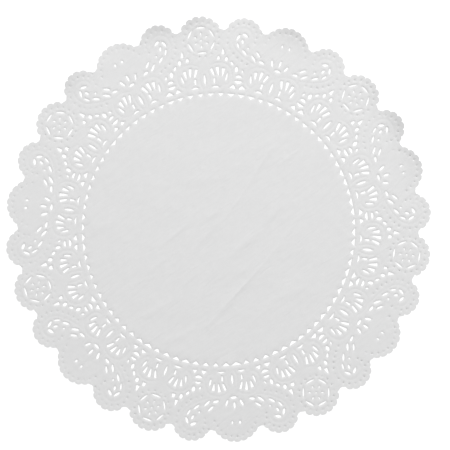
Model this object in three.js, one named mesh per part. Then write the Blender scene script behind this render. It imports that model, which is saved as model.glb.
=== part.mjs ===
// A round paper doily, die cut and embossed from one sheet, lying flat with a few scallops curled up.
// Millimetres, +Z up. The origin is the middle of the underside, and +Y runs through a rosette scallop.
// Angles are degrees clockwise from +Y, seen from above, and radii are distances from the middle.

import * as THREE from 'three';

// Driving dimensions
const DIAMETER = 254;
const SHEET_THICKNESS = 1;
const REPEATS = 7;

const TIP_RADIUS = DIAMETER / 2;
const REPEAT_ANGLE = 360 / REPEATS;
const HALF_REPEAT = REPEAT_ANGLE / 2;

// The pattern repeats seven times, and each repeat is its own mirror image about its rosette
// and about the plain scallop that lies half a repeat away
const ROSETTE_AXIS = 0;
const PLAIN_AXIS = HALF_REPEAT;
const CURL_AXIS = 12.65;

// The middles of the three kinds of scallop, and the rings that the holes lie on
const ROSETTE_CENTRE = TIP_RADIUS - 13.7;
const CURL_CENTRE = TIP_RADIUS - 11.8;
const PLAIN_CENTRE = TIP_RADIUS - 15.1;
const FAN_RING = 94;
const BAND_RING = 89.2;

// One edge bump is drawn by its two notches and two shoulders
const STEPS_PER_BUMP = 3;

// The four scallops of a repeat: where each is, its radius at the bumps' tops and in the notches, the
// angle from bump to bump, how far the edge goes to each side, and where one bump is from the axis
const ROSETTE_EDGE = { radius: ROSETTE_CENTRE, top: 13.8, notch: 13.1, pitch: 20.4, reach: 62, bumpAt: 10.2 };
const CURL_EDGE = { radius: CURL_CENTRE, top: 11.65, notch: 11.15, pitch: 23.5, reach: 63, bumpAt: -4 };
const PLAIN_EDGE = { radius: PLAIN_CENTRE, top: 14.95, notch: 14.45, pitch: 17.6, reach: 60, bumpAt: 0 };

// The rounded valleys between scallops
const ROSETTE_VALLEY = { angle: 6.75, radius: 118.9 };
const PLAIN_VALLEY = { angle: 18.5, radius: 119.3 };
const VALLEY_HALF_WIDTH = 0.4;

// The seam of the flat middle and the rim passes between the fans and the holes outside them. The rim
// is split from it to the edge beside each rosette scallop
const SEAM_RADIUS = 98;
const SEAM_STEP = 4.3;
const SPLIT_ANGLE = ROSETTE_VALLEY.angle - VALLEY_HALF_WIDTH;
const PLUS_X = 90;

// The largest gaps of each repeat. outer and inner are a hole's widths at the two ends of its length,
// and lean is how far its outer end tips away from the radius, towards larger angles
const FAN_SLITS = [
  { name: 'first', radius: FAN_RING - 0.1, angle: 3.1, length: 5.1, outer: 1.6, inner: 1.3, lean: -24 },
  { name: 'second', radius: FAN_RING + 0.1, angle: 4.95, length: 5.6, outer: 2.2, inner: 1.2, lean: -7 },
  { name: 'third', radius: FAN_RING - 0.2, angle: 6.92, length: 4.9, outer: 2.1, inner: 1.1, lean: 6 },
  { name: 'fourth', radius: FAN_RING - 2.8, angle: 8.28, length: 5, outer: 1.5, inner: 1.5, lean: 9 },
];
const PAIR_SLIT = { radius: BAND_RING + 0.2, angle: 0, length: 6.2, outer: 1.7, inner: 1.7, lean: 0 };
const BAND_DOME = { radius: BAND_RING - 0.5, angle: HALF_REPEAT / 2, length: 4.5, outer: 1.9, inner: 1.9, lean: 90 };
const CURL_HOLES = [
  { name: 'crown', radius: 116.8, angle: 13.25, length: 4.5, outer: 2, inner: 2.1, lean: -57 },
  { name: 'shoulder', radius: 115.1, angle: 11.15, length: 4.6, outer: 1.8, inner: 1.9, lean: 33 },
  { name: 'neck', radius: 110.2, angle: 11.3, length: 4.6, outer: 1.8, inner: 1.4, lean: -26 },
  { name: 'throat', radius: 106.3, angle: 13.5, length: 5.1, outer: 1.7, inner: 1.6, lean: -46 },
  { name: 'tail', radius: 103.9, angle: 16.8, length: 5.2, outer: 1.7, inner: 1.6, lean: -43 },
  { name: 'back', radius: 106.8, angle: 18, length: 4.9, outer: 1.5, inner: 1.9, lean: -44 },
];
const PLAIN_SIDE_RAY = { radius: 103.4, angle: PLAIN_AXIS - 2.53, length: 4.4, outer: 1.6, inner: 1.5, lean: -20 };
const PLAIN_RAY = { radius: 104.7, angle: PLAIN_AXIS, length: 4.1, outer: 1.6, inner: 1.6, lean: 0 };
const PLAIN_CRESCENT = { radius: 100.1, angle: PLAIN_AXIS, length: 4.4, outer: 1.9, inner: 1.9, lean: 90 };
const PETAL = { count: 6, ring: 7.45, length: 6.2, width: 1.6 };

// Where the rim has curled up off the table: the middle of the stretch, half its spread, and the
// height at the scallops' tips. It starts outside CURL_START
const CURL_START = 104;
const CURLED_RIM = [
  { name: 'right', angle: 66, spread: 24, height: 3 },
  { name: 'top right', angle: 26, spread: 13, height: 1.5 },
  { name: 'top', angle: -8, spread: 16, height: 1.8 },
  { name: 'top left', angle: -39, spread: 11, height: 1.6 },
];

const polar = (radius, degrees) => {
  const turn = THREE.MathUtils.degToRad(degrees);
  return new THREE.Vector2(radius * Math.sin(turn), radius * Math.cos(turn));
};

const mirrored = (points) => points.map((p) => new THREE.Vector2(-p.x, p.y)).reverse();

const turned = (points, degrees) => {
  const middle = new THREE.Vector2();
  const turn = -THREE.MathUtils.degToRad(degrees);
  return points.map((p) => p.clone().rotateAround(middle, turn));
};

// A hole of six corners, anticlockwise: two points at its ends, and two shoulders near each end
function hole({ radius, angle, length, outer, inner, lean }) {
  const corners = [
    [length / 2, 0],
    [length / 4, -outer / 2],
    [-length / 4, -inner / 2],
    [-length / 2, 0],
    [-length / 4, inner / 2],
    [length / 4, outer / 2],
  ];
  const centre = polar(radius, angle);
  const along = polar(1, angle + lean);
  const across = polar(1, angle + lean + 90);
  return corners.map(([u, v]) => centre.clone().addScaledVector(along, u).addScaledVector(across, v));
}

// The petals stand on a ring round the rosette's middle, each along the ring
function petals() {
  const centre = polar(ROSETTE_CENTRE, ROSETTE_AXIS);
  const top = hole({
    radius: PETAL.ring, angle: 0, length: PETAL.length, outer: PETAL.width, inner: PETAL.width, lean: 90,
  });
  return Array.from({ length: PETAL.count }, (_, i) =>
    turned(top, (360 * i) / PETAL.count).map((p) => p.add(centre)));
}

const withMirrorImage = (holes) => [...holes, ...holes.map(mirrored)];

// Two fans lie side by side on each axis, with their pair slit between them and a dome after them
const fanPair = () => [hole(PAIR_SLIT), hole(BAND_DOME), ...withMirrorImage(FAN_SLITS.map(hole))];

// The holes between two rosettes, which are mirrored about the plain scallop
function plainStretchHoles() {
  const beforePlain = [...CURL_HOLES, PLAIN_SIDE_RAY].map(hole);
  const afterPlain = beforePlain.map((points) => turned(mirrored(points), REPEAT_ANGLE));
  return [...beforePlain, ...afterPlain, hole(PLAIN_RAY), hole(PLAIN_CRESCENT)];
}

// The bumped edge of one scallop, from its left end to its right end
function scallop({ radius, top, notch, pitch, reach, bumpAt }, axis) {
  const centre = polar(radius, axis);
  const step = pitch / STEPS_PER_BUMP;
  const shoulder = bumpAt + step / 2;
  const first = Math.ceil((-reach - shoulder) / step);
  const last = Math.floor((reach - shoulder) / step);
  const points = [];
  for (let i = first; i <= last; i += 1) {
    const turn = shoulder + i * step;
    const bulge = Math.sqrt(Math.abs(Math.cos((Math.PI * (turn - bumpAt)) / pitch)));
    points.push(polar(notch + (top - notch) * bulge, axis + turn).add(centre));
  }
  return points;
}

const valley = ({ angle, radius }) => [
  polar(radius, angle - VALLEY_HALF_WIDTH),
  polar(radius, angle + VALLEY_HALF_WIDTH),
];

// The rim's two stretches in each repeat, split at the rosette scallop's valleys. Each has its middle's
// angle, its edge, clockwise, and the arc of the seam from the edge's end back to where it began
function rosetteStretch() {
  const end = polar(ROSETTE_VALLEY.radius, SPLIT_ANGLE);
  return {
    axis: ROSETTE_AXIS,
    edge: [...mirrored([end]), ...scallop(ROSETTE_EDGE, ROSETTE_AXIS), end],
    seam: seamArc(SPLIT_ANGLE, -SPLIT_ANGLE),
    holes: petals(),
  };
}

function plainStretch() {
  const beforePlain = [...valley(ROSETTE_VALLEY), ...scallop(CURL_EDGE, CURL_AXIS), ...valley(PLAIN_VALLEY)];
  return {
    axis: PLAIN_AXIS,
    edge: [
      ...beforePlain,
      ...scallop(PLAIN_EDGE, PLAIN_AXIS),
      ...turned(mirrored(beforePlain), REPEAT_ANGLE),
    ],
    seam: seamArc(REPEAT_ANGLE - SPLIT_ANGLE, SPLIT_ANGLE),
    holes: plainStretchHoles(),
  };
}

// An arc of the seam, with both its ends
function seamArc(from, to) {
  const steps = Math.round(Math.abs(to - from) / SEAM_STEP);
  return Array.from({ length: steps + 1 }, (_, i) => polar(SEAM_RADIUS, from + ((to - from) * i) / steps));
}

function turnedStretch({ axis, edge, seam, holes }, degrees) {
  return {
    axis: axis + degrees,
    edge: turned(edge, degrees),
    seam: turned(seam, degrees),
    holes: holes.map((points) => turned(points, degrees)),
  };
}

const aroundInSteps = (count, make) => Array.from({ length: count }, (_, i) => make((360 * i) / count));

// The sheet in stretches that share their corners, so that no long face bridges a curled scallop
function sheetStretches() {
  const oneRepeat = (turn) => [rosetteStretch(), plainStretch()].map((s) => turnedStretch(s, turn));
  const rim = aroundInSteps(REPEATS, oneRepeat).flat();
  const middle = {
    axis: 0,
    edge: [],
    seam: rim.flatMap(({ seam }) => seam.slice(1).reverse()),
    holes: aroundInSteps(2 * REPEATS, (turn) => fanPair().map((points) => turned(points, turn))).flat(),
  };
  return [middle, ...rim];
}

// How far the rim has curled up at a place on the sheet
function rimLift(x, y) {
  const degrees = THREE.MathUtils.radToDeg(Math.atan2(x, y));
  const outward = THREE.MathUtils.clamp((Math.hypot(x, y) - CURL_START) / (TIP_RADIUS - CURL_START), 0, 1);
  let lift = 0;
  for (const { angle, spread, height } of CURLED_RIM) {
    const away = Math.abs(THREE.MathUtils.euclideanModulo(degrees - angle + 180, 360) - 180) / spread;
    lift += away < 1 ? height * Math.cos((Math.PI / 2) * away) ** 2 : 0;
  }
  return lift * outward ** 2;
}

// The sheet's upper and lower faces, and the walls of its edge and holes. A wall runs along a path
// that has the paper on its right
function doilyGeometry() {
  const corners = [];
  const addFace = (...places) => {
    for (const [point, height] of places) {
      corners.push(point.x, point.y, height + rimLift(point.x, point.y));
    }
  };
  const addWall = (from, to) => {
    addFace([from, 0], [from, SHEET_THICKNESS], [to, SHEET_THICKNESS]);
    addFace([from, 0], [to, SHEET_THICKNESS], [to, 0]);
  };
  for (const { axis, edge, seam, holes } of sheetStretches()) {
    const contour = [...edge, ...seam];
    const points = [contour, ...holes].flat();
    // Each stretch is triangulated lying along +X, where the cuts to its holes run across the rim
    const lying = (path) => turned(path, PLUS_X - axis);
    for (const [a, b, c] of THREE.ShapeUtils.triangulateShape(lying(contour), holes.map(lying))) {
      addFace([points[a], SHEET_THICKNESS], [points[b], SHEET_THICKNESS], [points[c], SHEET_THICKNESS]);
      addFace([points[c], 0], [points[b], 0], [points[a], 0]);
    }
    edge.slice(1).forEach((point, i) => addWall(edge[i], point));
    for (const loop of holes) {
      loop.forEach((point, i) => addWall(point, loop[(i + 1) % loop.length]));
    }
  }
  const geometry = new THREE.BufferGeometry();
  geometry.setAttribute('position', new THREE.Float32BufferAttribute(corners, 3));
  geometry.computeVertexNormals();
  return geometry;
}

const whitePaper = new THREE.MeshStandardMaterial({ color: 0xe4e4e4, roughness: 0.85, metalness: 0 });
const doily = new THREE.Mesh(doilyGeometry(), whitePaper);
doily.name = 'doily';

const part = new THREE.Group();
part.add(doily);

export default part;
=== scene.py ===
# A round paper doily, die cut and embossed from one sheet of white paper, lying on a white table.
# The chart of its lace is in millimetres and in degrees clockwise from +Y, seen from above, where +Y
# runs through one rosette. The lace repeats seven times, and each repeat is nearly its own mirror image.

import math
from collections import namedtuple

import bpy
import numpy as np
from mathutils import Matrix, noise
from mathutils.geometry import delaunay_2d_cdt
from mathutils.kdtree import KDTree


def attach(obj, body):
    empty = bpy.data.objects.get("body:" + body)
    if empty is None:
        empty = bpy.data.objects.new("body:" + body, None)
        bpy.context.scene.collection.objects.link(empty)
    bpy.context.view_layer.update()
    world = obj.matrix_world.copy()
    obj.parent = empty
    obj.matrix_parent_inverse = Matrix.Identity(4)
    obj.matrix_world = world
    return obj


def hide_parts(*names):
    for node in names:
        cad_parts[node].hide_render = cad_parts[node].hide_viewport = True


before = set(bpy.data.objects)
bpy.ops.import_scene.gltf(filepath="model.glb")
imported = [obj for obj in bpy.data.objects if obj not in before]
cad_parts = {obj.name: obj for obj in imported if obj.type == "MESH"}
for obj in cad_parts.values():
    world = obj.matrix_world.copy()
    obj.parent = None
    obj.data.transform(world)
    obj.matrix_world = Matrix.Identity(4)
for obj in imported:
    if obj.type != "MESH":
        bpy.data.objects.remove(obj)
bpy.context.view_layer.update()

# Driving sizes, in millimetres
MM = 0.001
DIAMETER = 254.0
REPEATS = 7
PAPER_THICKNESS = 0.16
TABLE_GAP = 0.01

TIP_RADIUS = DIAMETER / 2
REPEAT_ANGLE = 360 / REPEATS
HALF_REPEAT = REPEAT_ANGLE / 2

# The angles of the lace's axes, the place of the rosette on its axis, and where the lace begins
ROSETTE_AXIS = 0.0
CURL_AXIS = 12.65
PLAIN_AXIS = HALF_REPEAT
BAND_AXIS = HALF_REPEAT / 2
ROSETTE_CENTRE = TIP_RADIUS - 14.05
LACE_RADIUS = 79.0

# The random numbers are the same in every run
SEED = 5

# The burr of the cut paper leaves this share of a hole's width open
BURR = 0.94

# How far a hole strays from its place, how much its width varies when it is long or short, and how
# many times less its length varies
HOLE_STRAY = 0.05
LONG_HOLE = 2.0
LONG_HOLE_WOBBLE = 0.06
SHORT_HOLE_WOBBLE = 0.14
LENGTH_STEADIER = 3

# The steps along each side of the shortest holes. A hole has one more for each of these lengths passed
FEWEST_STEPS = 5
LENGTHS_FOR_MORE_STEPS = (2.0, 3.0)

# How the ends of a hole are drawn in: the exponent of its taper
POINT = 1.0
EGG = 0.75
ROUND = 0.5
FLAT = 0.0

# outer and inner are the hole's widths at the two ends of its length, lean is how far its outer end
# tips towards larger angles, and bow is how far its middle bends that way, or inwards at lean 90
Hole = namedtuple("Hole", "radius angle length outer inner lean tip base bow", defaults=(ROUND, ROUND, 0))

# The holes of a fan, the slit between two fans, and the holes of a curl, of the chain beside it, of the
# band inside both and under a plain scallop. A ring of small triangles borders the plain middle
FAN = [
    Hole(93.65, 3.15, 4.6, 1.25, 0.95, -22.5, FLAT),
    Hole(94.2, 5.05, 5.1, 1.65, 0.6, -9, FLAT),
    Hole(93.7, 6.9, 4.2, 1.7, 0.5, 6.5, FLAT),
    Hole(91.3, 8.25, 4.5, 0.75, 1.05, 10.5, POINT, ROUND, 0.1),
    Hole(88.55, 3.72, 2.8, 0.95, 0.75, -3, FLAT),
    Hole(84.65, 4.1, 4.1, 0.95, 0.95, 90, POINT, POINT, -0.5),
]
PAIR_SLIT = Hole(89.5, ROSETTE_AXIS, 5.9, 1.25, 1.1, 0, POINT, POINT)
CURL = [
    Hole(116.4, 13.2, 3.6, 1.65, 1.2, -62, ROUND, POINT),
    Hole(114.9, 11.15, 3.8, 1.25, 1.25, 28, EGG, EGG),
    Hole(109.85, 11.35, 3.5, 1.05, 0.7, -25, ROUND, POINT),
    Hole(106.3, 13.55, 4.1, 1.25, 1.0, -46, EGG, POINT),
    Hole(103.75, 16.8, 4.5, 1.05, 1.3, -43, EGG, EGG),
    Hole(102.25, 19.7, 3.2, 1.45, 1.05, -76, ROUND, ROUND, 0.1),
    Hole(106.5, 18.1, 4.1, 1.05, 1.0, -46, EGG, EGG),
    Hole(112.6, 12.65, 2.3, 1.2, 1.1, -20),
    Hole(109.15, 14.55, 1.1, 0.75, 0.75, 0),
]
CHAIN = [
    Hole(106.0, 6.65, 3.3, 0.6, 1.8, -6, EGG, FLAT),
    Hole(102.2, 5.28, 2.0, 1.4, 1.75, 0, ROUND, FLAT),
    Hole(101.5, 7.9, 2.5, 1.95, 1.75, 0),
    Hole(99.0, 9.9, 2.4, 1.15, 1.2, -38),
    Hole(95.9, 11.65, 3.2, 1.9, 1.85, -6, EGG, EGG),
    Hole(94.9, 13.9, 1.7, 0.85, 0.8, -24),
]
BAND = [
    Hole(91.5, BAND_AXIS - 0.05, 3.3, 1.15, 1.35, 90, ROUND, ROUND, -0.35),
    Hole(88.8, BAND_AXIS - 0.05, 4.4, 1.5, 1.5, 90, POINT, POINT, 0.5),
    Hole(85.45, 10.95, 1.85, 0.6, 3.55, 9, ROUND, FLAT, 0.25),
    Hole(85.45, 14.7, 1.85, 0.6, 3.55, -9, ROUND, FLAT, -0.25),
]
PLAIN_RAYS = [
    Hole(104.9, PLAIN_AXIS, 3.5, 1.15, 1.0, 0, ROUND, ROUND),
    Hole(103.7, PLAIN_AXIS - 2.53, 3.8, 1.3, 1.15, -20.5),
    Hole(103.25, PLAIN_AXIS + 2.4, 3.5, 1.1, 1.0, 20.5),
    Hole(100.2, PLAIN_AXIS, 3.6, 1.3, 1.3, 90, EGG, EGG),
    Hole(115.2, PLAIN_AXIS - 1.2, 1.6, 0.95, 1.05, 0),
    Hole(115.05, PLAIN_AXIS + 1.05, 1.5, 0.85, 0.95, 0),
]
TRIANGLE = Hole(80.3, -0.18, 1.65, 4.0, 0.25, 0, FLAT, EGG)
TRIANGLES = 12 * REPEATS

# The three rings of holes, how much the area of their holes varies round the doily, and where it is most
WEAR = [
    {"from": 78, "to": 83, "share": 0.23, "largest_at": 149},
    {"from": 83, "to": 98, "share": 0.09, "largest_at": 65},
    {"from": 98, "to": 127, "share": 0.08, "largest_at": -135},
]

# Round the rosette's own middle
PETALS = 6
PETAL = Hole(7.5, 0.8, 5.5, 0.85, 0.85, 90, POINT, POINT, -0.05)
EYELET = Hole(3.8, 0, 1.4, 0.55, 0.45, 0)
ROSETTE_DOT = Hole(0, 0, 0.8, 0.5, 0.5, 0)

# The four scallops of a repeat, with the middle of each, the radius at its bumps' tops and in their
# notches, the angle from bump to bump, how far its edge goes and where one bump is from its axis
Scallop = namedtuple("Scallop", "radius axis top notch pitch reach bump_at")
ROSETTE_EDGE = Scallop(TIP_RADIUS - 13.8, ROSETTE_AXIS, 13.85, 12.6, 20.4, 62, 10.2)
CURL_EDGE = Scallop(TIP_RADIUS - 11.9, CURL_AXIS, 11.7, 10.75, 23.5, 63, -4)
PLAIN_EDGE = Scallop(TIP_RADIUS - 15.2, PLAIN_AXIS, 15.0, 14.0, 17.6, 60, 0)
STEPS_PER_BUMP = 9

# The valleys on both sides of the curl scallop, as a radius and an angle. Their floor bends outwards
# towards its ends
VALLEYS = {"rosette": (118.9, 6.8), "plain": (119.25, 18.5)}
VALLEY_HALF_WIDTH = 0.5
VALLEY_RISE = 0.25
VALLEY_POINTS = 5

# The pricked pits. The plain scallop's spread out towards both ends of their arc. The curl's run over
# its scallop and down to the fans, as (x, y) with their axis upright
ROSETTE_PITS = {"centre": ROSETTE_CENTRE + 0.4, "ring": 10.45, "count": 18}
PLAIN_PITS = {"centre": TIP_RADIUS - 15.3, "ring": 11.8, "pitch": 16.5, "on_each_side": 5, "spread": 1.05}
CURL_PITS_AXIS = 13.0
CURL_PITS = [
    (7.2, 115.35), (6.55, 112.5), (6.6, 118.75), (4.65, 121.3), (1.65, 122.9), (-1.55, 123.4),
    (-4.95, 122.2), (-7.65, 119.95), (-9.7, 117.0), (-10.05, 113.3), (-9.5, 110.1), (-8.0, 107.1),
    (-5.6, 104.6), (-3.0, 102.5), (0.1, 100.85), (3.2, 99.4),
]
VALLEY_PIT = (9.5, 118.6)

# The grooves pressed round each fan and along the back of each curl, as (x, y) with their axis upright
FAN_GROOVE_AXIS = 5.0
FAN_GROOVE = [
    (-5.6, 84.3), (-4.9, 87.5), (-5.0, 91.0), (-5.5, 94.0), (-5.0, 97.0), (-2.0, 98.9), (1.6, 99.3),
    (5.0, 98.3), (7.4, 96.1), (8.3, 92.5), (7.9, 89.0), (6.3, 86.7), (3.6, 85.9),
]
CURL_GROOVE_AXIS = 13.0
CURL_GROOVE = [
    (4.6, 116.0), (3.9, 118.3), (1.8, 120.0), (-1.2, 120.6), (-4.2, 119.9), (-6.5, 117.6), (-7.3, 114.2),
    (-6.6, 110.6), (-4.3, 107.5), (-1.0, 104.8), (2.6, 102.4), (6.0, 100.8), (8.6, 99.9),
]

# The radius of the raised ring outside the small triangles, and of the one round each rosette
LACE_RIDGE = 82.3
ROSETTE_RIDGE = 9.0

# Heights and half widths of the embossing, and how far from a hole or an edge it is highest
CORD = {"height": 0.1, "away": 0.95, "width": 0.45}
HOLE_RIM = {"depth": 0.25, "width": 0.36}
GROOVE = {"depth": 0.1, "width": 0.42, "lip": 0.025, "away": 1.0, "lip_width": 0.35}
RING = {"height": 0.08, "width": 0.45}
EDGE_PAD = {"height": 0.05, "away": 1.0, "width": 0.6}
EMBOSSED_FROM = LACE_RADIUS - 3

# Grooves and rings fade out this near to a hole
GROOVE_FADE = 1.0

# The pits are deeper by a share towards one side of the doily, stray from their places, and each has
# its own depth between the least and the most, as shares of the depth given here
PIT = {"depth": 0.56, "width": 0.36, "stray": 0.09, "share": 0.25, "deepest_at": 105}
PIT_LEAST = 0.5
PIT_MOST = 1.4

# Outside this radius the rim has curled up at four places, each given by its bearing, half its spread
# in degrees and its height at the tips
LIFT_START = 109.0
CURLED_RIM = [(66, 24, 4.0), (26, 15, 2.4), (-8, 18, 3.4), (-39, 12, 2.9)]

# Soft creases across the middle, with the height of the ridge and its half width
Crease = namedtuple("Crease", "start end height width")
CREASES = [
    Crease((-14.6, -60.2), (-5.5, -50.5), 0.24, 0.9),
    Crease((-7.6, -52.6), (26.0, -21.6), 0.42, 0.75),
    Crease((24.0, -23.2), (41.0, -7.4), 0.2, 1.0),
    Crease((5.5, 7.5), (17.5, 21.5), 0.24, 0.8),
    Crease((15.5, 19.0), (38.0, 48.5), 0.28, 0.8),
    Crease((37.0, 33.0), (50.5, 42.5), 0.2, 0.8),
    Crease((-34.5, -6.6), (-16.5, 6.2), 0.28, 0.9),
    Crease((-9.0, 6.6), (2.5, 11.6), 0.16, 0.8),
    Crease((-14.0, -9.5), (-3.0, 1.8), 0.22, 0.8),
    Crease((4.5, -17.5), (26.5, -1.0), 0.45, 2.0),
    Crease((26.5, -1.0), (41.0, 14.5), 0.3, 1.6),
    Crease((-22.0, 30.4), (10.5, 31.0), 0.14, 2.4),
    Crease((-46.0, 33.5), (-24.0, 27.5), 0.1, 2.0),
    Crease((-79.0, 4.0), (-56.5, 13.5), 0.24, 2.4),
    Crease((-30.0, -60.5), (-8.5, -54.5), 0.14, 1.4),
    Crease((-43.0, -65.0), (-22.0, -60.0), 0.14, 1.8),
    Crease((-57.5, -50.5), (-37.0, -43.5), 0.16, 1.8),
    Crease((24.0, -46.0), (50.0, -38.5), 0.16, 2.2),
    Crease((-26.3, -33.0), (-17.0, -25.4), 0.14, 1.0),
    Crease((-47.3, -46.9), (-26.2, -37.3), 0.14, 1.2),
    Crease((-44.0, -21.0), (-26.0, -10.5), 0.14, 1.2),
    Crease((33.0, -13.7), (46.2, 0.6), 0.14, 1.0),
]

# A crease fades from its middle to its ends over this share of its length
CREASE_FADE = 0.55

# The points along a crease: the share of its length that they run past each end, their step, the fewest
# in a row, and how far apart the rows are as a share of its half width
CREASE_PAST_END = 0.05
CREASE_STEP = 1.8
CREASE_FEWEST = 4
CREASE_ROW = 0.7

# The faint waves and crinkles of thin paper: their lengths along x and y, their height, and the place
# along z where they are taken from the noise
WAVES = {"x": 22, "y": 16, "height": 0.18, "z": 3.1}
CRINKLES = {"x": 2.6, "y": 2.6, "height": 0.015, "z": 8.7}

# Spacing of the mesh. The fine lattice goes this far from the embossing, and the plain one fills the rest
LACE_SPACING = 0.85
EMBOSSED_REACH = 1.6
PLAIN_SPACING = 1.6
MIDDLE_SPACING = 3.0
GROOVE_SPACING = 0.9

# Steps along the ring of points round a hole, and the fewest points that any ring has
RING_SPACING = 0.6
RING_FEWEST = 8

# Rings of points lie at these distances round each hole, and at this one round each pit's middle
RIM_RINGS = (0.4, CORD["away"])
PIT_RING = 0.45
PIT_RING_POINTS = 6

# The room that each kind of point keeps from the points before it
PIT_ROOM = 0.3
RIM_ROOM = 0.36
GROOVE_ROOM = 0.4
LACE_ROOM = 0.58
PLAIN_ROOM = 0.7 * PLAIN_SPACING
CREASE_ROOM = 0.4
MIDDLE_ROOM = 0.6 * MIDDLE_SPACING

# Steps along the outlines and grooves that distances are measured from
HOLE_SAMPLES = 0.12
FINE_SAMPLES = 0.2
COARSE_SAMPLES = 1.0

# No point within this radius is past the edge, and points nearer than this are one
INSIDE_NOTCHES = TIP_RADIUS - 15
SAME_POINT = 1e-9

# Faces that meet at more than this angle have a sharp edge between them
SHARP_ANGLE = 55


def polar(radius, degrees):
    """(x, y) at a radius and at degrees clockwise from +Y."""
    turn = np.radians(degrees)
    return np.stack([radius * np.sin(turn), radius * np.cos(turn)], axis=-1)


def turned(points, degrees):
    """The points turned clockwise round the origin."""
    turn = math.radians(degrees)
    x, y = points[..., 0], points[..., 1]
    across = x * math.cos(turn) + y * math.sin(turn)
    up = y * math.cos(turn) - x * math.sin(turn)
    return np.stack([across, up], axis=-1)


def bearing(points):
    """Degrees clockwise from +Y."""
    return np.degrees(np.arctan2(points[..., 0], points[..., 1]))


def mirrored(points):
    return (points * (-1, 1))[::-1]


def around(points, count):
    """Copies of the points, turned evenly round the doily's middle."""
    return [turned(points, 360 * i / count) for i in range(count)]


def cut(hole, rng):
    """The outline of one hole, anticlockwise, a little uneven as the worn die leaves it."""
    steps = FEWEST_STEPS + sum(hole.length > length for length in LENGTHS_FOR_MORE_STEPS)
    along = -np.cos(np.pi * np.arange(steps + 1) / steps)
    width = hole.inner + (hole.outer - hole.inner) * (along + 1) / 2
    ends = (1 - along ** 2) ** np.where(along > 0, hole.tip, hole.base)
    wobble = LONG_HOLE_WOBBLE if hole.length > LONG_HOLE else SHORT_HOLE_WOBBLE
    half = BURR * width / 2 * ends * (1 + wobble * rng.standard_normal())
    middle = hole.bow * (1 - along ** 2)
    length = along * hole.length / 2 * (1 + wobble / LENGTH_STEADIER * rng.standard_normal())
    outward = polar(1, hole.angle + hole.lean)
    onward = polar(1, hole.angle + hole.lean + 90)
    right = np.outer(length, outward) + np.outer(middle + half, onward)
    left = np.outer(length, outward) + np.outer(middle - half, onward)
    centre = polar(hole.radius, hole.angle) + HOLE_STRAY * rng.standard_normal(2)
    return centre + np.concatenate([right, left[half > 0][::-1]])


def worn(loop):
    """The outline as large as the die cuts it on that side of the doily."""
    centre = loop.mean(axis=0)
    size = 1
    for ring in WEAR:
        if ring["from"] <= np.linalg.norm(centre) < ring["to"]:
            size += ring["share"] * math.cos(math.radians(bearing(centre) - ring["largest_at"]))
    return centre + (loop - centre) * math.sqrt(size)


def lace_holes(rng):
    """Every hole's outline."""
    loops = []
    for i in range(2 * REPEATS):
        fans = [cut(hole, rng) for hole in FAN] + [mirrored(cut(hole, rng)) for hole in FAN]
        group = fans + [cut(hole, rng) for hole in [PAIR_SLIT, *BAND]]
        loops += [turned(loop, i * HALF_REPEAT) for loop in group]
    for i in range(REPEATS):
        one_side = [cut(hole, rng) for hole in CURL + CHAIN]
        other_side = [mirrored(cut(hole, rng)) for hole in CURL + CHAIN]
        group = one_side + other_side + [cut(hole, rng) for hole in PLAIN_RAYS] + rosette_holes(rng)
        loops += [turned(loop, i * REPEAT_ANGLE) for loop in group]
    for i in range(TRIANGLES):
        loops.append(turned(cut(TRIANGLE, rng), 360 * (i + 0.5) / TRIANGLES))
    return [worn(loop) for loop in loops]


def rosette_holes(rng):
    """The petals, eyelets and dot of one rosette."""
    ring = [turned(cut(hole, rng), 360 * i / PETALS) for hole in (PETAL, EYELET) for i in range(PETALS)]
    return [loop + polar(ROSETTE_CENTRE, ROSETTE_AXIS) for loop in ring + [cut(ROSETTE_DOT, rng)]]


def scallop(edge):
    """The bumped edge of one scallop, clockwise."""
    step = edge.pitch / STEPS_PER_BUMP
    shoulder = edge.bump_at + step / 2
    first = math.ceil((-edge.reach - shoulder) / step)
    last = math.floor((edge.reach - shoulder) / step)
    turn = shoulder + step * np.arange(first, last + 1)
    bulge = np.sqrt(np.abs(np.cos(np.pi * (turn - edge.bump_at) / edge.pitch)))
    rim = polar(edge.notch + (edge.top - edge.notch) * bulge, edge.axis + turn)
    return polar(edge.radius, edge.axis) + rim


def valley(name):
    """The short floor of one valley, clockwise."""
    radius, angle = VALLEYS[name]
    across = np.linspace(-1, 1, VALLEY_POINTS)
    return polar(radius + VALLEY_RISE * across ** 2, angle + VALLEY_HALF_WIDTH * across)


def doily_edge():
    """The whole edge, clockwise."""
    before_plain = np.concatenate([valley("rosette"), scallop(CURL_EDGE), valley("plain")])
    after_plain = turned(mirrored(before_plain), REPEAT_ANGLE)
    repeat = np.concatenate([scallop(ROSETTE_EDGE), before_plain, scallop(PLAIN_EDGE), after_plain])
    return np.concatenate(around(repeat, REPEATS))


def pricked_pits(rng):
    """The middle and the depth of every pit, uneven as blunt pins leave them."""
    count = ROSETTE_PITS["count"]
    ring = polar(ROSETTE_PITS["ring"], 360 / count * (np.arange(count) + 0.5))
    rosette = polar(ROSETTE_PITS["centre"], ROSETTE_AXIS) + ring
    side = PLAIN_PITS["on_each_side"]
    place = np.arange(-side, side + 1)
    spread = PLAIN_PITS["spread"] * np.abs(place / side) ** 3
    arc = polar(PLAIN_PITS["ring"] + spread, PLAIN_AXIS + PLAIN_PITS["pitch"] * place)
    plain = polar(PLAIN_PITS["centre"], PLAIN_AXIS) + arc
    curl = turned(np.array([*CURL_PITS, VALLEY_PIT]), CURL_PITS_AXIS)
    pits = np.concatenate(around(np.concatenate([rosette, plain, curl, mirrored(curl)]), REPEATS))
    pits += PIT["stray"] * rng.standard_normal(pits.shape)
    share = PIT["share"] * np.cos(np.radians(bearing(pits) - PIT["deepest_at"]))
    return pits, PIT["depth"] * (1 + share) * rng.uniform(PIT_LEAST, PIT_MOST, len(pits))


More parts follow.
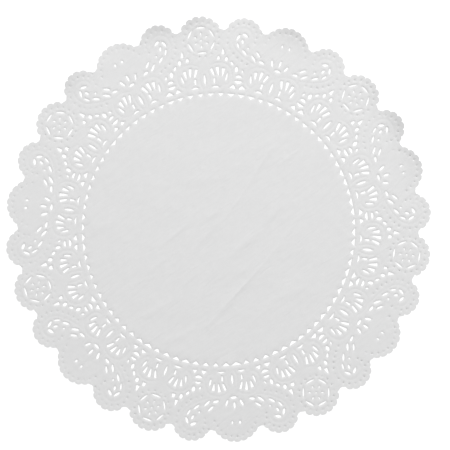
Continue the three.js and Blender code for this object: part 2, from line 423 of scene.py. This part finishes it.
def smooth_path(points, spacing):
    """A curve through the points, as places at nearly even steps."""
    points = np.array(points)
    padded = np.concatenate([[2 * points[0] - points[1]], points, [2 * points[-1] - points[-2]]])
    pieces = []
    for a, b, c, d in zip(padded, padded[1:], padded[2:], padded[3:]):
        steps = max(2, round(np.linalg.norm(c - b) / spacing))
        t = (np.arange(steps) / steps)[:, None]
        straight = b + t * (c - a) / 2
        bend = t ** 2 * (a - 2.5 * b + 2 * c - d / 2) + t ** 3 * (1.5 * (b - c) + (d - a) / 2)
        pieces.append(straight + bend)
    return np.concatenate(pieces)


def beside(path, away):
    """The path moved sideways."""
    ahead = np.gradient(path, axis=0)
    across = np.stack([ahead[:, 1], -ahead[:, 0]], axis=-1)
    return path + away * across / np.linalg.norm(across, axis=1)[:, None]


def pressed_grooves(spacing, away=0):
    """Places along every groove, or beside it."""
    fan = turned(beside(smooth_path(FAN_GROOVE, spacing), away), FAN_GROOVE_AXIS)
    fans = around(np.concatenate([fan, mirrored(fan)]), 2 * REPEATS)
    curl = turned(beside(smooth_path(CURL_GROOVE, spacing), away), CURL_GROOVE_AXIS)
    curls = around(np.concatenate([curl, mirrored(curl)]), REPEATS)
    return np.concatenate(fans + curls)


def circle(radius, spacing):
    """Places round a circle at even steps."""
    return polar(radius, np.arange(0, 360, math.degrees(spacing / radius)))


def raised_rings(spacing):
    """Places along the ring outside the triangles and along those round the rosettes."""
    rosette = circle(ROSETTE_RIDGE, spacing) + polar(ROSETTE_CENTRE, ROSETTE_AXIS)
    return np.concatenate([circle(LACE_RIDGE, spacing), *around(rosette, REPEATS)])


def along_loop(loop, spacing):
    """Places along a closed outline at even steps."""
    closed = np.concatenate([loop, loop[:1]])
    reach = np.concatenate([[0], np.cumsum(np.linalg.norm(np.diff(closed, axis=0), axis=1))])
    places = np.linspace(0, reach[-1], max(RING_FEWEST, int(reach[-1] / spacing)), endpoint=False)
    return np.stack([np.interp(places, reach, closed[:, axis]) for axis in (0, 1)], axis=-1)


def ring_outside(loop, away):
    """Points at a distance outside an anticlockwise outline, wider apart the farther out they are."""
    even = along_loop(loop, RING_SPACING * (1 + away / 2))
    ahead = np.roll(even, -1, axis=0) - np.roll(even, 1, axis=0)
    outward = np.stack([ahead[:, 1], -ahead[:, 0]], axis=-1)
    return even + away * outward / np.linalg.norm(outward, axis=1)[:, None]


def inside(points, loop):
    """Which points lie inside a closed outline."""
    result = np.zeros(len(points), bool)
    x, y = points[:, 0], points[:, 1]
    for (x0, y0), (x1, y1) in zip(loop, np.roll(loop, -1, axis=0)):
        if y0 == y1:
            continue
        crosses = (y0 > y) != (y1 > y)
        result ^= crosses & (x < (x1 - x0) * (y - y0) / (y1 - y0) + x0)
    return result


def on_paper(points, holes, edge):
    """Which points lie inside the edge and in no hole."""
    result = np.ones(len(points), bool)
    outer = np.linalg.norm(points, axis=1) > INSIDE_NOTCHES
    result[outer] = inside(points[outer], edge)
    for loop in holes:
        centre = loop.mean(axis=0)
        reach = np.linalg.norm(loop - centre, axis=1).max()
        near = np.flatnonzero(np.abs(points - centre).max(axis=1) < reach)
        result[near] &= ~inside(points[near], loop)
    return result


def nearest(samples, points):
    """Which sample is nearest to each point, and how far it is."""
    tree = KDTree(len(samples))
    for i, (x, y) in enumerate(samples):
        tree.insert((x, y, 0), i)
    tree.balance()
    found = [tree.find((x, y, 0)) for x, y in points]
    return np.array([index for _, index, _ in found]), np.array([away for *_, away in found])


def lattice(spacing, reach):
    """A triangular lattice that fills a circle."""
    row = spacing * math.sqrt(3) / 2
    rows = np.arange(-reach, reach, row)
    places = np.arange(-reach, reach, spacing)
    x, y = np.meshgrid(places, rows)
    x = x + spacing / 2 * (np.arange(len(rows)) % 2)[:, None]
    return np.stack([x.ravel(), y.ravel()], axis=-1)


def thinned(fixed, groups):
    """The fixed points, then those of each group that keep its room from all points before them."""
    cell = max(room for _, room in groups)
    cells = {}
    kept = []

    def add(x, y):
        cells.setdefault((math.floor(x / cell), math.floor(y / cell)), []).append((x, y))
        kept.append((x, y))

    for x, y in fixed.tolist():
        add(x, y)
    for points, room in groups:
        for x, y in points.tolist():
            column, row = math.floor(x / cell), math.floor(y / cell)
            close = (
                other
                for i in (column - 1, column, column + 1)
                for j in (row - 1, row, row + 1)
                for other in cells.get((i, j), ())
            )
            if all((x - a) ** 2 + (y - b) ** 2 >= room * room for a, b in close):
                add(x, y)
    return kept


def sheet_plan(holes, edge, pits):
    """The flat sheet: its points, and triangles that cover the paper alone."""
    rims = np.concatenate([ring_outside(loop, away) for away in RIM_RINGS for loop in holes])
    pit_rings = np.concatenate([pits + step for step in around(polar(PIT_RING, 0), PIT_RING_POINTS)])
    beside_grooves = (0, -GROOVE["width"], GROOVE["width"])
    grooves = np.concatenate([pressed_grooves(GROOVE_SPACING, away) for away in beside_grooves])
    lace = lattice(LACE_SPACING, TIP_RADIUS)
    lace = lace[np.linalg.norm(lace, axis=1) > LACE_RADIUS]
    embossing = np.concatenate([*holes, edge, pits, pressed_grooves(COARSE_SAMPLES)])
    _, away = nearest(embossing, lace)
    plain = lattice(PLAIN_SPACING, TIP_RADIUS)
    plain = plain[np.linalg.norm(plain, axis=1) > LACE_RADIUS]
    middle = lattice(MIDDLE_SPACING, LACE_RADIUS)
    middle = middle[np.linalg.norm(middle, axis=1) < LACE_RADIUS - MIDDLE_SPACING / 2]
    groups = [
        (pits, PIT_ROOM),
        (pit_rings, PIT_ROOM),
        (rims, RIM_ROOM),
        (grooves, GROOVE_ROOM),
        (lace[away < EMBOSSED_REACH], LACE_ROOM),
        (plain, PLAIN_ROOM),
        (np.concatenate([crease_points(crease) for crease in CREASES]), CREASE_ROOM),
        (middle, MIDDLE_ROOM),
    ]
    groups = [(points[on_paper(points, holes, edge)], room) for points, room in groups]
    points = thinned(np.concatenate([*holes, edge]), groups)
    edges = []
    start = 0
    for loop in [*holes, edge]:
        edges += [(start + i, start + (i + 1) % len(loop)) for i in range(len(loop))]
        start += len(loop)
    places, _, faces, *_ = delaunay_2d_cdt(points, edges, [], 0, SAME_POINT)
    places = np.array([tuple(place) for place in places])
    faces = np.array(faces)
    return places, faces[on_paper(places[faces].mean(axis=1), holes, edge)]


def crease_points(crease):
    """Points on a crease's ridge and down both its sides."""
    start, end = np.array(crease.start), np.array(crease.end)
    along = end - start
    length = np.linalg.norm(along)
    across = np.array([-along[1], along[0]]) / length
    count = max(CREASE_FEWEST, round(length / CREASE_STEP))
    t = np.linspace(-CREASE_PAST_END, 1 + CREASE_PAST_END, count)
    ridge = start + np.outer(t, along)
    return np.concatenate([ridge + across * row * crease.width * CREASE_ROW for row in (0, -1, 1, -2, 2)])


def hill(distance, width):
    """A smooth hill, 1 high."""
    return np.exp(-(distance / width) ** 2)


def creases(points):
    """The height of the soft creases."""
    height = np.zeros(len(points))
    for crease in CREASES:
        start = np.array(crease.start)
        along = np.array(crease.end) - start
        t = (points - start) @ along / (along @ along)
        away = np.linalg.norm(points - start - np.outer(t, along), axis=1)
        height += crease.height * hill(away, crease.width) * hill(t - 0.5, CREASE_FADE) ** 2
    return height


def unevenness(points, kind):
    """The height of the waves or the crinkles."""
    heights = [noise.noise((x / kind["x"], y / kind["y"], kind["z"])) for x, y in points]
    return kind["height"] * np.array(heights)


def rim_lift(points):
    """How far the rim has curled up."""
    degrees = bearing(points)
    outward = np.clip((np.linalg.norm(points, axis=1) - LIFT_START) / (TIP_RADIUS - LIFT_START), 0, 1)
    lift = np.zeros(len(points))
    for angle, spread, height in CURLED_RIM:
        away = np.abs((degrees - angle + 180) % 360 - 180) / spread
        lift += np.where(away < 1, height * np.cos(np.pi / 2 * np.minimum(away, 1)) ** 2, 0)
    return lift * outward ** 3


def relief(points, holes, edge, pits, depths):
    """The embossed height of the sheet."""
    height = creases(points) + unevenness(points, WAVES) + unevenness(points, CRINKLES)
    lace = np.linalg.norm(points, axis=1) > EMBOSSED_FROM
    places = points[lace]
    _, from_hole = nearest(np.concatenate([along_loop(loop, HOLE_SAMPLES) for loop in holes]), places)
    _, from_edge = nearest(along_loop(edge, FINE_SAMPLES), places)
    pit, from_pit = nearest(pits, places)
    _, from_groove = nearest(pressed_grooves(FINE_SAMPLES), places)
    _, from_ring = nearest(raised_rings(FINE_SAMPLES), places)
    groove = GROOVE["lip"] * hill(from_groove - GROOVE["away"], GROOVE["lip_width"])
    groove -= GROOVE["depth"] * hill(from_groove, GROOVE["width"])
    ring = RING["height"] * hill(from_ring, RING["width"])
    embossed = CORD["height"] * hill(from_hole - CORD["away"], CORD["width"])
    embossed -= HOLE_RIM["depth"] * hill(from_hole, HOLE_RIM["width"])
    embossed -= depths[pit] * hill(from_pit, PIT["width"])
    embossed += (groove + ring) * (1 - hill(from_hole, GROOVE_FADE))
    embossed += EDGE_PAD["height"] * hill(from_edge - EDGE_PAD["away"], EDGE_PAD["width"])
    height[lace] += embossed
    return height


def closed_sheet(name, places, faces, heights):
    """A mesh with an upper and a lower face, and walls round the edge and the holes."""
    count = len(places)
    low = np.column_stack([places, heights]) * MM
    high = low + (0, 0, PAPER_THICKNESS * MM)
    sides = np.concatenate([faces[:, [0, 1]], faces[:, [1, 2]], faces[:, [2, 0]]])
    keys = sides.min(axis=1).astype(np.int64) * count + sides.max(axis=1)
    _, first, uses = np.unique(keys, return_index=True, return_counts=True)
    rim = sides[first[uses == 1]]
    walls = np.column_stack([rim[:, 1], rim[:, 0], rim[:, 0] + count, rim[:, 1] + count])
    mesh = bpy.data.meshes.new(name)
    upper = faces.tolist()
    lower = (faces[:, ::-1] + count).tolist()
    mesh.from_pydata(np.concatenate([high, low]).tolist(), [], upper + lower + walls.tolist())
    mesh.shade_smooth()
    mesh.set_sharp_from_angle(angle=math.radians(SHARP_ANGLE))
    piece = bpy.data.objects.new(name, mesh)
    bpy.context.scene.collection.objects.link(piece)
    return piece


def build_doily():
    rng = np.random.default_rng(SEED)
    holes = lace_holes(rng)
    edge = doily_edge()
    pits, depths = pricked_pits(rng)
    places, faces = sheet_plan(holes, edge, pits)
    heights = relief(places, holes, edge, pits, depths)
    heights += TABLE_GAP - heights.min() + rim_lift(places)
    doily = closed_sheet("paper_doily", places, faces, heights)
    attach(doily, "root")
    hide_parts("doily")
    return doily


# The shades of the paper's clouding, each with the noise value that it is reached at
PAPER_SHADES = [(0.3, (0.764, 0.764, 0.766, 1)), (0.7, (0.781, 0.781, 0.781, 1))]

# The faint streaks that the press pulled across the paper: their bearing, and their size in metres
STREAK_BEARING = 52.0
STREAK_LENGTH = 0.01
STREAK_WIDTH = 0.0026

# The heights of the fibre grain and of the streaks, in metres
GRAIN_HEIGHT = 0.00006
STREAK_HEIGHT = 0.00028


def noise_texture(tree, scale, detail, distortion=0.0):
    node = tree.nodes.new("ShaderNodeTexNoise")
    node.inputs["Scale"].default_value = scale
    node.inputs["Detail"].default_value = detail
    node.inputs["Distortion"].default_value = distortion
    return node


def bump(tree, texture, strength, height):
    """A bump as high as the texture says."""
    node = tree.nodes.new("ShaderNodeBump")
    node.inputs["Strength"].default_value = strength
    node.inputs["Distance"].default_value = height
    tree.links.new(texture.outputs["Fac"], node.inputs["Height"])
    return node


def white_paper():
    """Thin uncoated white paper with a faint fibre grain, clouding and streaks."""
    material = bpy.data.materials.new("white paper")
    material.use_nodes = True
    tree = material.node_tree
    shader = tree.nodes["Principled BSDF"]
    shader.inputs["Roughness"].default_value = 0.9
    shader.inputs["Specular IOR Level"].default_value = 0.25
    place = tree.nodes.new("ShaderNodeTexCoord")

    clouds = noise_texture(tree, scale=260, detail=3)
    shade = tree.nodes.new("ShaderNodeValToRGB")
    for step, (position, color) in zip(shade.color_ramp.elements, PAPER_SHADES):
        step.position = position
        step.color = color
    tree.links.new(place.outputs["Object"], clouds.inputs["Vector"])
    tree.links.new(clouds.outputs["Fac"], shade.inputs["Fac"])
    tree.links.new(shade.outputs["Color"], shader.inputs["Base Color"])

    fibres = noise_texture(tree, scale=1400, detail=4, distortion=1.5)
    grain = bump(tree, fibres, strength=0.25, height=GRAIN_HEIGHT)
    tree.links.new(place.outputs["Object"], fibres.inputs["Vector"])

    stretch = tree.nodes.new("ShaderNodeMapping")
    stretch.vector_type = "TEXTURE"
    stretch.inputs["Rotation"].default_value = (0, 0, math.radians(90 - STREAK_BEARING))
    stretch.inputs["Scale"].default_value = (STREAK_LENGTH, STREAK_WIDTH, STREAK_WIDTH)
    streaks = noise_texture(tree, scale=1, detail=3, distortion=0.7)
    pull = bump(tree, streaks, strength=1, height=STREAK_HEIGHT)
    tree.links.new(place.outputs["Object"], stretch.inputs["Vector"])
    tree.links.new(stretch.outputs["Vector"], streaks.inputs["Vector"])
    tree.links.new(grain.outputs["Normal"], pull.inputs["Normal"])
    tree.links.new(pull.outputs["Normal"], shader.inputs["Normal"])
    return material


# The picture's middle, its turn and its width, in the doily's own frame, and the lens, in millimetres
VIEW_MIDDLE = (4.15, 2.36)
VIEW_TURN = -5.21
VIEW_WIDTH = 267.9
LENS = 100.0
SENSOR = 36.0


def add_camera():
    camera = bpy.data.cameras.new("camera")
    camera.lens = LENS
    camera.sensor_width = SENSOR
    holder = bpy.data.objects.new("camera", camera)
    holder.location = (VIEW_MIDDLE[0] * MM, VIEW_MIDDLE[1] * MM, VIEW_WIDTH * LENS / SENSOR * MM)
    holder.rotation_euler = (0, 0, math.radians(VIEW_TURN))
    bpy.context.scene.collection.objects.link(holder)
    bpy.context.scene.camera = holder


# Half the table's width in metres, its shade and how much it glows
TABLE_HALF = 3.0
TABLE_SHADE = 0.3
TABLE_GLOW = 0.85


def add_table():
    """A white table that glows a little, as a light table does."""
    corners = [(x * TABLE_HALF, y * TABLE_HALF, 0) for x, y in ((-1, -1), (1, -1), (1, 1), (-1, 1))]
    mesh = bpy.data.meshes.new("table")
    mesh.from_pydata(corners, [], [(0, 1, 2, 3)])
    table = bpy.data.objects.new("table", mesh)
    bpy.context.scene.collection.objects.link(table)
    material = bpy.data.materials.new("white table")
    material.use_nodes = True
    shader = material.node_tree.nodes["Principled BSDF"]
    shader.inputs["Base Color"].default_value = (TABLE_SHADE, TABLE_SHADE, TABLE_SHADE, 1)
    shader.inputs["Roughness"].default_value = 0.8
    shader.inputs["Emission Color"].default_value = (1, 1, 1, 1)
    shader.inputs["Emission Strength"].default_value = TABLE_GLOW
    mesh.materials.append(material)


# Where the softbox is: degrees clockwise from +Y, degrees above the table, and metres away. Its size is
# in metres and its power in watts
LIGHT_BEARING = 21.0
LIGHT_ELEVATION = 38.0
LIGHT_REACH = 1.5
LIGHT_SIZE = 0.7
LIGHT_POWER = 11.6
ROOM_STRENGTH = 0.665


def add_light():
    """A softbox beyond the picture's upper right, low enough to show the embossing, in a white room."""
    world = bpy.data.worlds.new("white room")
    world.use_nodes = True
    background = world.node_tree.nodes["Background"]
    background.inputs["Color"].default_value = (1, 1, 1, 1)
    background.inputs["Strength"].default_value = ROOM_STRENGTH
    bpy.context.scene.world = world

    softbox = bpy.data.lights.new("softbox", "AREA")
    softbox.shape = "SQUARE"
    softbox.size = LIGHT_SIZE
    softbox.energy = LIGHT_POWER
    holder = bpy.data.objects.new("softbox", softbox)
    elevation = math.radians(LIGHT_ELEVATION)
    toward = polar(LIGHT_REACH * math.cos(elevation), LIGHT_BEARING)
    holder.location = (*toward, LIGHT_REACH * math.sin(elevation))
    holder.rotation_euler = (math.radians(90) - elevation, 0, math.radians(180 - LIGHT_BEARING))
    bpy.context.scene.collection.objects.link(holder)


add_camera()
doily = build_doily()
doily.data.materials.append(white_paper())
add_table()
add_light()
bpy.context.scene.view_settings.view_transform = "Standard"
